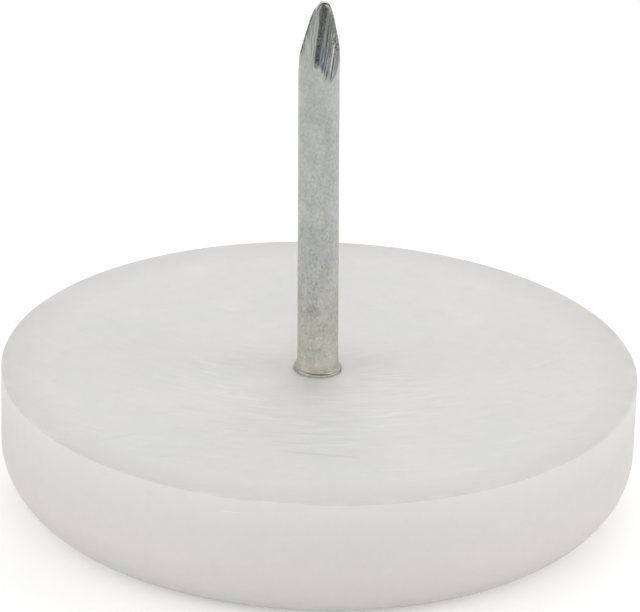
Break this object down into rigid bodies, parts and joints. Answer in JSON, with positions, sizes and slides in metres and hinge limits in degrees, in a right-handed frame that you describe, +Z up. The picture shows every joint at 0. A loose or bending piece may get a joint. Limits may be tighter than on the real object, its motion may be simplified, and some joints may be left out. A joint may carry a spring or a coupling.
{
  "type": "nail-on furniture glide",
  "caption": "Round moulded plastic glide with a rounded sole and a pointed zinc-plated nail standing in its middle, for driving into the end of a furniture leg.",
  "frame": {"origin": "centre of the flat sliding face, which rests on the floor", "axes": "+Z up out of the pad's top face, along the pad's own axis, towards the nail's point; -Y is the front that the first view looks at; the nail leans 1.3 degrees towards -X"},
  "size_m": [0.028, 0.028, 0.0233],
  "materials": {
    "pad_plastic": "natural milky polyethylene, moulded, satin, slightly translucent",
    "nail_steel": "dull mottled zinc plating on steel wire, cut faces streaked along the nail"
  },
  "bodies": {
    "root": {"pad": "pad_plastic", "nail": "nail_steel"}
  },
  "joints": []
}
